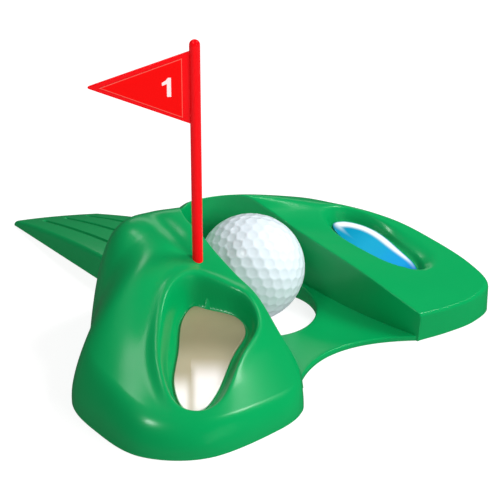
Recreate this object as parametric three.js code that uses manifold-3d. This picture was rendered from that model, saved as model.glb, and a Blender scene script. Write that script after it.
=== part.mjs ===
// Putting cup with a bunker and a pond: one thin-walled moulding that stands on the floor, a golf ball in
// its cup, two foil inlays, and a flagstick that plugs into the bunker hill.
// Millimetres, +Z up. The design frame has its origin under the centre of the cup, the putting channel
// opens towards -Y, the pond hill is on +X, the bunker hill on -X and the grooved tongue runs to +Y.
// The exported group is moved so that its origin is at the middle of the object's footprint.
import * as THREE from "three";
import { mergeVertices } from "three/addons/utils/BufferGeometryUtils.js";
import Module from "manifold-3d";

const wasm = await Module();
wasm.setup();

// ---- driving dimensions ----
const BALL_D = 42.67;
const BALL_OFFSET = [-1, 3.2];
const CUP_CLEARANCE = 3.33;
const CUP_D = BALL_D + CUP_CLEARANCE;
const SHELL_WALL = 2;

const CUP_MARGIN = 3;
const CHANNEL_END_R = CUP_D / 2 + CUP_MARGIN;
const CHANNEL_END_Y = 6.2;
const CHANNEL_FLARE = 4;
const CHANNEL_FRONT_HALF = CHANNEL_END_R + CHANNEL_FLARE;
const CHANNEL_DRAFT = 1;
const POND_FRONT_Y = -58.6;
const TOE_FRONT_Y = -55;

const LIP_Z = 2;
const FLOOR_OVERLAP = 0.8;
const LIP_DEPTH = 13;
const FLOOR_FLAT_Y = -46.8;
const FLOOR_CURVE = 0.002;

const TONGUE_TIP_T = 2.3;
const TONGUE_RISE = 0.2;
const TONGUE_FLATTEN = 0.001;
const TONGUE_EDGE_R = 2;
const TONGUE_LEAD_BULGE = 1.5;
const GROOVES = 3;
const GROOVE_W = 1.2;
const GROOVE_DEPTH = 0.8;
const GROOVE_START = 8.5;
const GROOVE_END = 62;

const POLE_D = 4;
const POLE_AT = [-35.8, -3.2];
const POLE_TOP_Z = 124.7;
const PLUG_DEPTH = 14;
const PLUG_CLEARANCE = 0.2;
const PLUG_CHAMFER = 0.5;
const BOSS_WALL = 2.2;
const BOSS_FLOOR = 2;
const PENNANT_H = 28.8;
const PENNANT_REACH = 39.4;
const PENNANT_TOP_DROP = 3.6;
const PENNANT_TIP_R = 0.4;
const PENNANT_T = 1.4;
const PENNANT_TURN = 135;
const LABEL_MARGIN = 2.6;
const LABEL_TOP_CUT = 0.6;
const LABEL_T = 0.25;
const LABEL_GAP = 0.05;

const EDGE_MIN_Z = 0.6;
const SLOPE_ALLOWANCE = 1.15;
const CROWDING = 0.9;
const SOFT_WALL = 0.4;
const ABOVE_Z = 80;
const BELOW_Z = -1;
const COLLAR_DROP = 0.05;
// The stretch of the hills, as stations from 0 to 1, that is hollow underneath.
const CAVITY_FROM = 0.06;
const CAVITY_TO = 0.95;
const ROUND_SIDES = 48;
const POLE_SIDES = 32;

const FOIL_T = 0.6;
const FOIL_GAP = 0.3;
const FOIL_SIDE_GAP = 0.4;
const POND_DEPTH = 4;
const POND_HALF = 15;
const BUNKER_FLOOR_TOP_Z = 24;
const BUNKER_FLOOR_SLOPE = 0.26;

// Each row is one station round the channel, from the pond hill's front corner round the closed end to the
// bunker hill's toe: place along the channel wall (0 to 1), crest height, x and y of the outer foot,
// height of the top surface at its outer edge, fullness of the top surface, radius of the outer edge.
const STATIONS = [
  [0.0, 11.2, 30.0, -58.6, 11.2, 1.0, 1.5],
  [0.06, 15.1, 43.0, -62.0, 10.9, 1.0, 1.5],
  [0.13, 19.6, 57.0, -63.6, 11.0, 1.0, 1.6],
  [0.2, 23.4, 70.4, -60.2, 12.0, 1.0, 2.0],
  [0.27, 26.8, 74.6, -49.0, 15.2, 1.0, 3.0],
  [0.33, 30.0, 74.8, -33.0, 19.4, 1.0, 4.5],
  [0.375, 34.3, 70.5, -14.0, 25.0, 1.0, 6.0],
  [0.42, 39.6, 60.0, 4.0, 29.0, 1.1, 8.0],
  [0.465, 40.6, 45.0, 24.0, 30.0, 1.3, 9.0],
  [0.505, 41.4, 24.0, 44.0, 16.0, 1.4, 10.0],
  [0.545, 42.4, -6.0, 52.0, 12.0, 1.6, 10.0],
  [0.59, 43.2, -34.0, 48.0, 12.0, 1.8, 10.0],
  [0.63, 47.1, -56.0, 36.0, 11.0, 6.5, 10.0],
  [0.67, 46.4, -74.4, 18.0, 10.0, 3.4, 10.0],
  [0.715, 44.0, -96.4, 0.0, 12.0, 2.1, 10.0],
  [0.765, 38.8, -103.6, -22.5, 14.0, 1.25, 10.0],
  [0.82, 34.0, -103.4, -45.6, 11.5, 1.15, 10.0],
  [0.88, 29.3, -87.2, -62.8, 9.0, 1.15, 9.0],
  [0.945, 18.0, -57.6, -66.4, 8.4, 1.1, 8.4],
  [1.0, 9.0, -31.5, -54.8, 9.0, 1.0, 8.0],
];

// Closed outlines, as x and y of the few points that a smooth curve passes through.
const POND_FOIL_OUTLINE = [
  [45.6, 2.6], [52.0, 1.2], [57.4, -5.2], [59.4, -13.5], [58.4, -24.0], [56.8, -33.0],
  [52.5, -38.2], [47.5, -34.5], [43.6, -25.5], [41.4, -14.0], [42.2, -3.2],
];
const POND_RIM_OUTLINE = [
  [44.7, 9.0], [55.0, 4.6], [63.0, -9.0], [68.4, -23.5], [68.6, -34.5], [62.0, -42.6],
  [52.0, -42.0], [43.2, -32.2], [39.6, -20.0], [37.9, -7.5], [39.0, 3.4],
];
const BUNKER_FOIL_OUTLINE = [
  [-45.6, -10.4], [-42.3, -15.6], [-37.6, -26.0], [-41.2, -34.6], [-53.6, -40.2], [-69.0, -48.6],
  [-79.6, -51.4], [-83.8, -45.6], [-78.0, -34.6], [-66.0, -24.0], [-54.6, -13.6],
];
const BUNKER_RIM_OUTLINE = [
  [-44.0, -6.2], [-38.0, -11.6], [-32.4, -26.6], [-37.0, -38.6], [-54.6, -46.6], [-72.0, -55.4],
  [-83.4, -54.6], [-88.6, -46.0], [-81.4, -31.0], [-69.6, -17.6], [-55.6, -7.4],
];
// Tongue: x and y of its corners, at the tip and where it runs into the hill.
const TONGUE = {
  tipLeft: [-13.7, 140.4],
  tipRight: [18.1, 119.9],
  rootLeft: [-28.3, 34.0],
  rootRight: [28.7, 34.0],
};

const COLORS = { green: 0x0a8a3e, red: 0xe00016, sand: 0xb9ad92, water: 0x1aa3d8, ball: 0xf4f6fa };

// ---- small geometry library ----
const mix = (a, b, t) => a + (b - a) * t;
const range = (n) => Array.from({ length: n }, (_, i) => i);
const smooth = (t) => t * t * (3 - 2 * t);

// A point on the smooth curve through the rows of a table, at t from 0 to 1.
function along(rows, t, closed = false) {
  const spans = closed ? rows.length : rows.length - 1;
  const at = Math.min(Math.max(t, 0), 1) * spans;
  const i = Math.min(Math.floor(at), spans - 1);
  const w = at - i;
  const row = (k) => (closed ? rows[(k + rows.length) % rows.length] : rows[k]);
  const p1 = row(i);
  const p2 = row(i + 1);
  const p0 = row(i - 1) ?? p1.map((v, k) => 2 * v - p2[k]);
  const p3 = row(i + 2) ?? p2.map((v, k) => 2 * v - p1[k]);
  return p1.map((v, k) => {
    const a = p2[k] - p0[k];
    const b = 2 * p0[k] - 5 * v + 4 * p2[k] - p3[k];
    const c = 3 * v - p0[k] - 3 * p2[k] + p3[k];
    return 0.5 * (2 * v + a * w + b * w * w + c * w * w * w);
  });
}

const closedCurve = (rows, n) => range(n).map((i) => along(rows, i / n, true));

// Moves a closed anticlockwise or clockwise outline outwards by d (inwards when d is negative).
function grow(points, d) {
  const n = points.length;
  const area = points.reduce((s, p, i) => {
    const q = points[(i + 1) % n];
    return s + p[0] * q[1] - q[0] * p[1];
  }, 0);
  const side = Math.sign(area);
  return points.map((p, i) => {
    const a = points[(i + n - 1) % n];
    const b = points[(i + 1) % n];
    const len = Math.hypot(b[0] - a[0], b[1] - a[1]);
    return [p[0] + (side * d * (b[1] - a[1])) / len, p[1] - (side * d * (b[0] - a[0])) / len];
  });
}

// A manifold-3d solid from loose triangles.
function solid(points, triangles) {
  const raw = new THREE.BufferGeometry();
  raw.setAttribute("position", new THREE.Float32BufferAttribute(points.flat(), 3));
  raw.setIndex(triangles.flat());
  return fromGeometry(raw);
}

function fromGeometry(geometry) {
  const bare = geometry.clone();
  bare.deleteAttribute("normal");
  bare.deleteAttribute("uv");
  const merged = mergeVertices(bare, 1e-4);
  const index = merged.index.array;
  const kept = [];
  for (let i = 0; i < index.length; i += 3) {
    const [a, b, c] = [index[i], index[i + 1], index[i + 2]];
    if (a !== b && b !== c && c !== a) kept.push(a, b, c);
  }
  const mesh = new wasm.Mesh({
    numProp: 3,
    vertProperties: new Float32Array(merged.attributes.position.array),
    triVerts: new Uint32Array(kept),
  });
  return new wasm.Manifold(mesh);
}

function toGeometry(body) {
  const mesh = body.getMesh();
  const geometry = new THREE.BufferGeometry();
  const step = mesh.numProp;
  const xyz = new Float32Array(mesh.numVert * 3);
  for (let i = 0; i < mesh.numVert; i++) {
    xyz.set(mesh.vertProperties.subarray(i * step, i * step + 3), i * 3);
  }
  geometry.setAttribute("position", new THREE.BufferAttribute(xyz, 3));
  geometry.setIndex(new THREE.BufferAttribute(new Uint32Array(mesh.triVerts), 1));
  geometry.computeVertexNormals();
  return geometry;
}

// A closed body through loops of equal length; the two end loops are filled by a fan.
function loft(loops) {
  const m = loops[0].length;
  const points = loops.flat();
  const triangles = [];
  range(loops.length - 1).forEach((i) =>
    range(m).forEach((j) => {
      const a = i * m + j;
      const b = i * m + ((j + 1) % m);
      triangles.push([a, b, a + m], [b, b + m, a + m]);
    }),
  );
  const last = (loops.length - 1) * m;
  const cap = (start, flip) => {
    const middle = points.length;
    const ring = points.slice(start, start + m);
    points.push([0, 1, 2].map((k) => ring.reduce((s, p) => s + p[k], 0) / m));
    range(m).forEach((j) => {
      const a = start + j;
      const b = start + ((j + 1) % m);
      triangles.push(flip ? [b, a, middle] : [a, b, middle]);
    });
  };
  cap(0, true);
  cap(last, false);
  const made = solid(points, triangles);
  return made.volume() < 0 ? solid(points, triangles.map(([a, b, c]) => [a, c, b])) : made;
}

// A closed slab between two grids of points, top over bottom; rows run across, columns along.
function slab(top, bottom) {
  const [rows, columns] = [top.length, top[0].length];
  const points = [...top.flat(), ...bottom.flat()];
  const under = rows * columns;
  const triangles = [];
  const quad = (a, b, c, d) => triangles.push([a, b, c], [a, c, d]);
  range(rows - 1).forEach((i) =>
    range(columns - 1).forEach((j) => {
      const a = i * columns + j;
      quad(a, a + 1, a + columns + 1, a + columns);
      quad(under + a, under + a + columns, under + a + columns + 1, under + a + 1);
    }),
  );
  const rim = [
    ...range(columns - 1),
    ...range(rows - 1).map((i) => i * columns + columns - 1),
    ...range(columns - 1).map((j) => rows * columns - 1 - j),
    ...range(rows - 1).map((i) => (rows - 1 - i) * columns),
  ];
  rim.forEach((a, k) => {
    const b = rim[(k + 1) % rim.length];
    quad(b, a, under + a, under + b);
  });
  const made = solid(points, triangles);
  return made.volume() < 0 ? solid(points, triangles.map(([a, b, c]) => [a, c, b])) : made;
}

function cylinder(radius, zLow, zHigh, [x, y], sides) {
  const geometry = new THREE.CylinderGeometry(radius, radius, zHigh - zLow, sides);
  geometry.rotateX(Math.PI / 2);
  geometry.translate(x, y, (zLow + zHigh) / 2);
  return fromGeometry(geometry);
}

// ---- plan curves and heights ----
// The channel wall in plan, offset away from the channel by out: t runs from the pond hill's front corner
// (0), round the closed end, to the bunker hill's toe (1).
function channelWall(t, out = 0) {
  const lengthOf = (frontY) => Math.hypot(CHANNEL_FRONT_HALF - CHANNEL_END_R, CHANNEL_END_Y - frontY);
  const right = lengthOf(POND_FRONT_Y);
  const left = lengthOf(TOE_FRONT_Y);
  const bend = Math.PI * CHANNEL_END_R;
  const s = t * (right + bend + left);
  if (s < right) {
    const w = s / right;
    return [mix(CHANNEL_FRONT_HALF, CHANNEL_END_R, w) + out, mix(POND_FRONT_Y, CHANNEL_END_Y, w)];
  }
  if (s < right + bend) {
    const angle = (s - right) / CHANNEL_END_R;
    const r = CHANNEL_END_R + out;
    return [r * Math.cos(angle), CHANNEL_END_Y + r * Math.sin(angle)];
  }
  const w = Math.min((s - right - bend) / left, 1);
  return [-mix(CHANNEL_END_R, CHANNEL_FRONT_HALF, w) - out, mix(CHANNEL_END_Y, TOE_FRONT_Y, w)];
}

const channelFloor = (y) => LIP_Z + FLOOR_CURVE * Math.max(0, y - FLOOR_FLAT_Y) ** 2;
const tongueTop = (run) => TONGUE_TIP_T + TONGUE_RISE * run - TONGUE_FLATTEN * run * run;

// A point on the hills' top: t runs round the channel, s from the crest (0) out to the foot (1). With
// wall above 0 it is the skin of the hollow underneath.
function hillPoint(t, s, wall = 0) {
  const [place, crest, footX, footY, edge, fullness, radius] = along(STATIONS, t);
  const [x0, y0] = channelWall(place, wall);
  const span = Math.hypot(footX - x0, footY - y0);
  const inside = Math.max(radius - Math.max((1 - s) * span - wall, 0), 0);
  const top = edge + (crest - edge) * (1 - Math.max(s, 0) ** fullness);
  const rounding = radius - Math.sqrt(radius ** 2 - inside ** 2);
  const z = Math.max(top - rounding, EDGE_MIN_Z) - wall * SLOPE_ALLOWANCE;
  return [mix(x0, footX, s), mix(y0, footY, s), z];
}

// One section of the hills, across from the crest of the channel wall to the outer foot. Its points crowd
// towards the rounded outer edge.
function hillSection(t, rows, wall = 0) {
  const [place, , footX, footY] = along(STATIONS, t);
  const [x0, y0] = channelWall(place, wall);
  const inset = Math.min(wall / Math.max(Math.hypot(footX - x0, footY - y0), 1e-6), 0.9);
  const crowded = (j) => Math.sin(((j / rows) ** CROWDING * Math.PI) / 2);
  return range(rows + 1).map((j) => hillPoint(t, crowded(j) * (1 - inset), wall));
}

// The two hills as a closed body: outside skin, channel wall and a flat underside at zLow.
function hillBody(columns, rows, wall, zLow, from = 0, to = 1) {
  const loops = range(columns + 1).map((i) => {
    const t = mix(from, to, i / columns);
    const top = hillSection(t, rows, wall);
    const [place] = along(STATIONS, t);
    const inner = channelWall(place, wall - CHANNEL_DRAFT);
    const foot = top[rows];
    const ended = i === 0 || i === columns;
    const base = wall === 0 && ended ? [foot[0], foot[1]] : inner;
    return [...top, [foot[0], foot[1], zLow], [base[0], base[1], zLow]];
  });
  return loft(loops);
}

// Height of the hills' outside surface over a point: the nearest of a grid of samples, then four steps of
// Newton's method on (t, s).
const NEWTON_STEP = 1e-3;
const FLATTEST = 1;
const SAMPLES = range(61).flatMap((i) => range(21).map((j) => [i / 60, j / 20]));
function hillHeight(x, y) {
  const away = ([t, s]) => {
    const p = hillPoint(t, s);
    return Math.hypot(p[0] - x, p[1] - y);
  };
  let [t, s] = SAMPLES.reduce((best, at) => (away(at) < away(best) ? at : best));
  const h = NEWTON_STEP;
  range(4).forEach(() => {
    const p = hillPoint(t, s);
    const pt = hillPoint(t + h, s);
    const ps = hillPoint(t, s + h);
    const [a, b, c, d] = [(pt[0] - p[0]) / h, (ps[0] - p[0]) / h, (pt[1] - p[1]) / h, (ps[1] - p[1]) / h];
    const det = a * d - b * c;
    if (Math.abs(det) < FLATTEST) return;
    const [ex, ey] = [x - p[0], y - p[1]];
    t = THREE.MathUtils.clamp(t + (d * ex - b * ey) / det, 0, 1);
    s = THREE.MathUtils.clamp(s + (a * ey - c * ex) / det, 0, 1);
  });
  return hillPoint(t, s)[2];
}

// ---- hollows for the two foils ----
// The bunker's floor falls towards the toe along a sloping line; the pond's floor follows its hill.
const BUNKER_TOP_AT = BUNKER_FOIL_OUTLINE[0];
const BUNKER_FALL = new THREE.Vector2(-0.67, -0.74).normalize();
const bunkerFloor = (x, y) => {
  const run = (x - BUNKER_TOP_AT[0]) * BUNKER_FALL.x + (y - BUNKER_TOP_AT[1]) * BUNKER_FALL.y;
  return BUNKER_FLOOR_TOP_Z - BUNKER_FLOOR_SLOPE * run;
};
const pondMiddle = (() => {
  const box = new THREE.Box2().setFromPoints(POND_FOIL_OUTLINE.map((p) => new THREE.Vector2(...p)));
  return box.getCenter(new THREE.Vector2());
})();
const pondRise = (y) => hillHeight(pondMiddle.x, pondMiddle.y + y);
const POND_SLOPE = (pondRise(POND_HALF) - pondRise(-POND_HALF)) / (2 * POND_HALF);
const POND_FLOOR_Z = hillHeight(pondMiddle.x, pondMiddle.y) - POND_DEPTH;
const pondFloor = (x, y) => POND_FLOOR_Z + POND_SLOPE * (y - pondMiddle.y);

// A closed body that fills a hollow from its floor up past the hill. With wall above 0 it is the pan that
// holds the hollow: the same shape grown by one wall.
function hollow(foilOutline, rimOutline, floor, wall, n = 36, steps = 5) {
  const foil = grow(closedCurve(foilOutline, n), wall);
  const rim = grow(closedCurve(rimOutline, n), wall);
  const loops = range(steps + 1).map((k) => {
    const w = k / steps;
    return foil.map(([x, y], i) => {
      const [rx, ry] = rim[i];
      const low = floor(x, y) - wall;
      const high = hillHeight(rx, ry) - wall * SOFT_WALL;
      return [mix(x, rx, w), mix(y, ry, w), mix(low, high, smooth(w))];
    });
  });
  if (wall === 0) loops.push(rim.map(([x, y]) => [x, y, ABOVE_Z]));
  return loft(loops);
}

function foilPlate(outline, floor) {
  const edge = grow(closedCurve(outline, 36), -FOIL_SIDE_GAP);
  const level = (lift) => edge.map(([x, y]) => [x, y, floor(x, y) + lift]);
  return loft([level(FOIL_GAP), level(FOIL_GAP + FOIL_T)]);
}

// ---- tongue ----
function tongueBody(wall, zLow) {
  const { tipLeft, tipRight, rootLeft, rootRight } = TONGUE;
  const length = tipLeft[1] - rootLeft[1];
  const steps = 12;
  const across = 10;
  const start = wall > 0 ? (TONGUE_TIP_T + wall) / TONGUE_RISE / length : 0;
  const loops = range(steps + 1).map((i) => {
    const t = mix(start, 1, i / steps);
    const left = [mix(tipLeft[0], rootLeft[0], t) + wall, mix(tipLeft[1], rootLeft[1], t)];
    const right = [mix(tipRight[0], rootRight[0], t) - wall, mix(tipRight[1], rootRight[1], t)];
    const z = tongueTop(t * length) - wall;
    const round = Math.min(TONGUE_EDGE_R, z * 0.5);
    const width = right[0] - left[0];
    const bulge = (w) => TONGUE_LEAD_BULGE * (1 - t) * 4 * w * (1 - w);
    const spot = (w, h) => [mix(left[0], right[0], w), mix(left[1], right[1], w) + bulge(w), h];
    const corner = [0, 30, 60, 90].map((a) => {
      const rad = THREE.MathUtils.degToRad(a);
      return [(round * (1 - Math.cos(rad))) / width, z - round * (1 - Math.sin(rad))];
    });
    const top = range(across - 1).map((k) => spot((k + 1) / across, z));
    return [
      spot(0, zLow),
      ...corner.map(([w, h]) => spot(w, h)),
      ...top,
      ...corner.reverse().map(([w, h]) => spot(1 - w, h)),
      spot(1, zLow),
    ];
  });
  return loft(loops);
}

function tongueGrooves() {
  const { tipLeft, tipRight, rootLeft, rootRight } = TONGUE;
  const length = tipLeft[1] - rootLeft[1];
  return range(GROOVES).map((i) => {
    const w = (i + 1) / (GROOVES + 1);
    const at = (t) => [
      mix(mix(tipLeft[0], rootLeft[0], t), mix(tipRight[0], rootRight[0], t), w),
      mix(mix(tipLeft[1], rootLeft[1], t), mix(tipRight[1], rootRight[1], t), w),
    ];
    const first = GROOVE_START / length;
    const endT = (tipLeft[1] - GROOVE_END) / length;
    const loops = range(9).map((k) => {
      const t = mix(first, endT, k / 8);
      const [x, y] = at(t);
      const low = tongueTop(t * length) - GROOVE_DEPTH;
      const half = GROOVE_W / 2;
      return [[x - half, y, low], [x + half, y, low], [x + half, y, ABOVE_Z], [x - half, y, ABOVE_Z]];
    });
    return loft(loops);
  });
}

// ---- channel floor with its cup ----
function floorPlate() {
  const over = FLOOR_OVERLAP;
  const steps = 24;
  const straight = 15;
  const halfAt = (y, front) => {
    if (y > CHANNEL_END_Y) return CHANNEL_END_R;
    return mix(CHANNEL_END_R, CHANNEL_FRONT_HALF, (CHANNEL_END_Y - y) / (CHANNEL_END_Y - front));
  };
  const backY = CHANNEL_END_Y + CHANNEL_END_R + over;
  const frontY = (w) => {
    const corner = mix(TOE_FRONT_Y, POND_FRONT_Y, w);
    return corner + LIP_DEPTH * 4 * w * (1 - w);
  };
  const across = 16;
  const grid = range(steps + 1).map((i) => {
    const w0 = i / straight;
    const w1 = (i - straight) / (steps - straight);
    return range(across + 1).map((j) => {
      const w = j / across;
      const y = w0 <= 1 ? mix(frontY(w), CHANNEL_END_Y, w0) : mix(CHANNEL_END_Y, backY, w1);
      const side = w < 0.5 ? TOE_FRONT_Y : POND_FRONT_Y;
      const depth = Math.max(y - CHANNEL_END_Y, 0);
      const reach = CHANNEL_END_R + over;
      const half = depth > 0 ? Math.sqrt(Math.max(reach ** 2 - depth ** 2, 0)) : halfAt(y, side) + over;
      return [mix(-half, half, w), y];
    });
  });
  const thickness = Math.min(SHELL_WALL, LIP_Z);
  const level = (lift) => grid.map((row) => row.map(([x, y]) => [x, y, channelFloor(y) + lift]));
  return slab(level(0), level(-thickness));
}

// ---- the green moulding ----
function greenShell() {
  const cupR = CUP_D / 2;
  const bossR = POLE_D / 2 + PLUG_CLEARANCE + BOSS_WALL;
  const outside = hillBody(76, 18, 0, 0);
  const tongue = tongueBody(0, 0);
  const pans = [
    hollow(POND_FOIL_OUTLINE, POND_RIM_OUTLINE, pondFloor, SHELL_WALL),
    hollow(BUNKER_FOIL_OUTLINE, BUNKER_RIM_OUTLINE, bunkerFloor, SHELL_WALL),
  ].map((pan) => pan.intersect(outside));
  const cavity = hillBody(40, 9, SHELL_WALL, BELOW_Z, CAVITY_FROM, CAVITY_TO);
  const tongueCavity = tongueBody(SHELL_WALL, BELOW_Z);
  const collar = cylinder(cupR + SHELL_WALL, 0, channelFloor(cupR), [0, 0], ROUND_SIDES);
  const plugZ = hillHeight(...POLE_AT) - PLUG_DEPTH;
  const boss = cylinder(bossR, plugZ - BOSS_FLOOR, ABOVE_Z, POLE_AT, POLE_SIDES).intersect(outside);
  const socket = cylinder(POLE_D / 2 + PLUG_CLEARANCE, plugZ, ABOVE_Z, POLE_AT, POLE_SIDES);
  let shell = outside.add(tongue).subtract(cavity).subtract(tongueCavity);
  shell = shell.add(floorPlate()).add(collar.subtract(floorTrim())).add(boss);
  pans.forEach((pan) => (shell = shell.add(pan)));
  shell = shell.subtract(hollow(POND_FOIL_OUTLINE, POND_RIM_OUTLINE, pondFloor, 0));
  shell = shell.subtract(hollow(BUNKER_FOIL_OUTLINE, BUNKER_RIM_OUTLINE, bunkerFloor, 0));
  shell = shell.subtract(cylinder(cupR, BELOW_Z, ABOVE_Z, [0, 0], ROUND_SIDES)).subtract(socket);
  tongueGrooves().forEach((groove) => (shell = shell.subtract(groove)));
  return shell;
}

// Everything above the channel floor around the cup, to cut the collar level with the floor.
function floorTrim() {
  const half = CUP_D;
  const loops = range(17).map((i) => {
    const y = mix(-half, half, i / 16);
    const z = channelFloor(y) - COLLAR_DROP;
    return [[-half, y, z], [half, y, z], [half, y, ABOVE_Z], [-half, y, ABOVE_Z]];
  });
  return loft(loops);
}

// ---- flagstick: pole with a domed top and a pennant, one moulding ----
function flagstick() {
  const r = POLE_D / 2;
  const plugZ = hillHeight(...POLE_AT) - PLUG_DEPTH + PLUG_CLEARANCE;
  const dome = range(7).map((i) => {
    const a = (i / 6) * (Math.PI / 2);
    return new THREE.Vector2(r * Math.cos(a), POLE_TOP_Z - r + r * Math.sin(a));
  });
  const profile = [new THREE.Vector2(0, plugZ), new THREE.Vector2(r - PLUG_CHAMFER, plugZ)];
  profile.push(new THREE.Vector2(r, plugZ + PLUG_CHAMFER), ...dome);
  profile[profile.length - 1].x = 0;
  const pole = new THREE.LatheGeometry(profile, 24);
  pole.rotateX(Math.PI / 2);
  const top = POLE_TOP_Z - PENNANT_TOP_DROP;
  const middle = top - PENNANT_H / 2;
  const blunt = PENNANT_REACH - PENNANT_TIP_R;
  const outline = new THREE.Shape([
    new THREE.Vector2(0, top),
    new THREE.Vector2(blunt, middle + PENNANT_TIP_R),
    new THREE.Vector2(PENNANT_REACH, middle),
    new THREE.Vector2(blunt, middle - PENNANT_TIP_R),
    new THREE.Vector2(0, top - PENNANT_H),
  ]);
  const pennant = new THREE.ExtrudeGeometry(outline, { depth: PENNANT_T, bevelEnabled: false });
  pennant.translate(0, 0, -PENNANT_T / 2);
  pennant.rotateX(Math.PI / 2);
  const body = fromGeometry(pole).add(fromGeometry(pennant));
  return placeFlag(toGeometry(body));
}

// The triangular label on one side of the pennant (side is 1 or -1).
function flagLabel(side) {
  const top = POLE_TOP_Z - PENNANT_TOP_DROP;
  const middle = top - PENNANT_H / 2;
  const half = PENNANT_H / 2 - LABEL_MARGIN - LABEL_TOP_CUT;
  const from = POLE_D / 2 + LABEL_MARGIN;
  const reach = PENNANT_REACH - LABEL_MARGIN * 2;
  const outline = new THREE.Shape([
    new THREE.Vector2(from, middle + half),
    new THREE.Vector2(reach, middle),
    new THREE.Vector2(from, middle - half),
  ]);
  const sheet = new THREE.ExtrudeGeometry(outline, { depth: LABEL_T, bevelEnabled: false });
  const offset = PENNANT_T / 2 + LABEL_GAP;
  sheet.translate(0, 0, side > 0 ? offset : -offset - LABEL_T);
  sheet.rotateX(Math.PI / 2);
  return placeFlag(sheet);
}

function placeFlag(geometry) {
  geometry.rotateZ(THREE.MathUtils.degToRad(PENNANT_TURN));
  geometry.translate(...POLE_AT, 0);
  return geometry;
}

function golfBall() {
  const ball = new THREE.IcosahedronGeometry(BALL_D / 2, 7);
  ball.translate(...BALL_OFFSET, BALL_D / 2);
  return ball;
}

// ---- assembly ----
function mesh(name, geometry, color, roughness, metalness = 0) {
  const made = new THREE.Mesh(geometry, new THREE.MeshStandardMaterial({ color, roughness, metalness }));
  made.name = name;
  return made;
}

const object = new THREE.Group();
object.add(
  mesh("green_shell", toGeometry(greenShell()), COLORS.green, 0.35),
  mesh("bunker_sand_foil", toGeometry(foilPlate(BUNKER_FOIL_OUTLINE, bunkerFloor)), COLORS.sand, 0.4, 0.5),
  mesh("pond_water_foil", toGeometry(foilPlate(POND_FOIL_OUTLINE, pondFloor)), COLORS.water, 0.15, 0.5),
  mesh("flagstick", flagstick(), COLORS.red, 0.3),
  mesh("flag_label_front", flagLabel(-1), COLORS.red, 0.5),
  mesh("flag_label_back", flagLabel(1), COLORS.red, 0.5),
  mesh("golf_ball", golfBall(), COLORS.ball, 0.3),
);
const box = new THREE.Box3().setFromObject(object);
object.position.set(-(box.min.x + box.max.x) / 2, -(box.min.y + box.max.y) / 2, -box.min.z);

const part = new THREE.Group();
part.add(object);
export default part;
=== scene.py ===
"""Practice putting cup: a green moulding with a bunker and a pond, a red pin flag and a golf ball.

Sizes in the shape functions are millimetres in the design frame, whose origin is under the centre of the cup.
to_row() turns them into metres in the part's own frame.
"""

import math
from collections import namedtuple

import bmesh
import bpy
import numpy as np
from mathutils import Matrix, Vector


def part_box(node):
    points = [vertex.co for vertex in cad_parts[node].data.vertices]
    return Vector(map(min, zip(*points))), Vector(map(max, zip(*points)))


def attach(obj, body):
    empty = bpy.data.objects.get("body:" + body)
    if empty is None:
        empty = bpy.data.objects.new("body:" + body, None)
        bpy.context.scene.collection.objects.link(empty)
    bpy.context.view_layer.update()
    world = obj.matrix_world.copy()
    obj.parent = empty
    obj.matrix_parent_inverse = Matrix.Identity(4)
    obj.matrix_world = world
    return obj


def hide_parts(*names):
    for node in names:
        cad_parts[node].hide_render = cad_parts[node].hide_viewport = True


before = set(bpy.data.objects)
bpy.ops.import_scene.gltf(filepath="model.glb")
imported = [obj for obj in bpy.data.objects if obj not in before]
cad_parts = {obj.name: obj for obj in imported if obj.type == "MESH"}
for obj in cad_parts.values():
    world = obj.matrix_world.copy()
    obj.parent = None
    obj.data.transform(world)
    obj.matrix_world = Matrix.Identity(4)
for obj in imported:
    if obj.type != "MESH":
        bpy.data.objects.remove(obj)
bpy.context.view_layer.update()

bl_info = {
    "name": "Practice putting cup",
    "version": (1, 0, 0),
    "blender": (4, 5, 0),
    "location": "View3D > Sidebar > Putting cup",
    "description": "Builds a moulded practice putting cup with its flag, foils and golf ball",
    "category": "Add Mesh",
}

MM = 0.001
BALL_OFFSET = (-1.0, 3.2)
BALL_LOW, BALL_HIGH = (Vector(corner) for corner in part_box("golf_ball"))
BALL_CENTRE = (BALL_LOW + BALL_HIGH) / 2
CUP_AT = Vector((BALL_CENTRE.x - BALL_OFFSET[0] * MM, BALL_CENTRE.y - BALL_OFFSET[1] * MM, 0.0))

# ---- shape of the moulding, in millimetres ----
CUP_RADIUS = 23.0
WALL = 2.0
SLOPE_ALLOWANCE = 1.15
CHANNEL_END_RADIUS = 26.0
CHANNEL_END_Y = 6.2
CHANNEL_FRONT_HALF = 30.0
CHANNEL_DRAFT = 1.0
POND_FRONT_Y = -58.6
TOE_FRONT_Y = -52.2
LIP_Z = 2.0
LIP_DEPTH = 12.0
LIP_TOE_Y = -51.0
FLOOR_FLAT_Y = -46.8
FLOOR_CURVE = 0.002
TONGUE_TIP = 2.3
TONGUE_RISE = 0.2
TONGUE_FLATTEN = 0.001
TONGUE_EDGE = 2.0
TONGUE_BULGE = 1.5
POLE_AT = (-35.8, -3.2)

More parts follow.
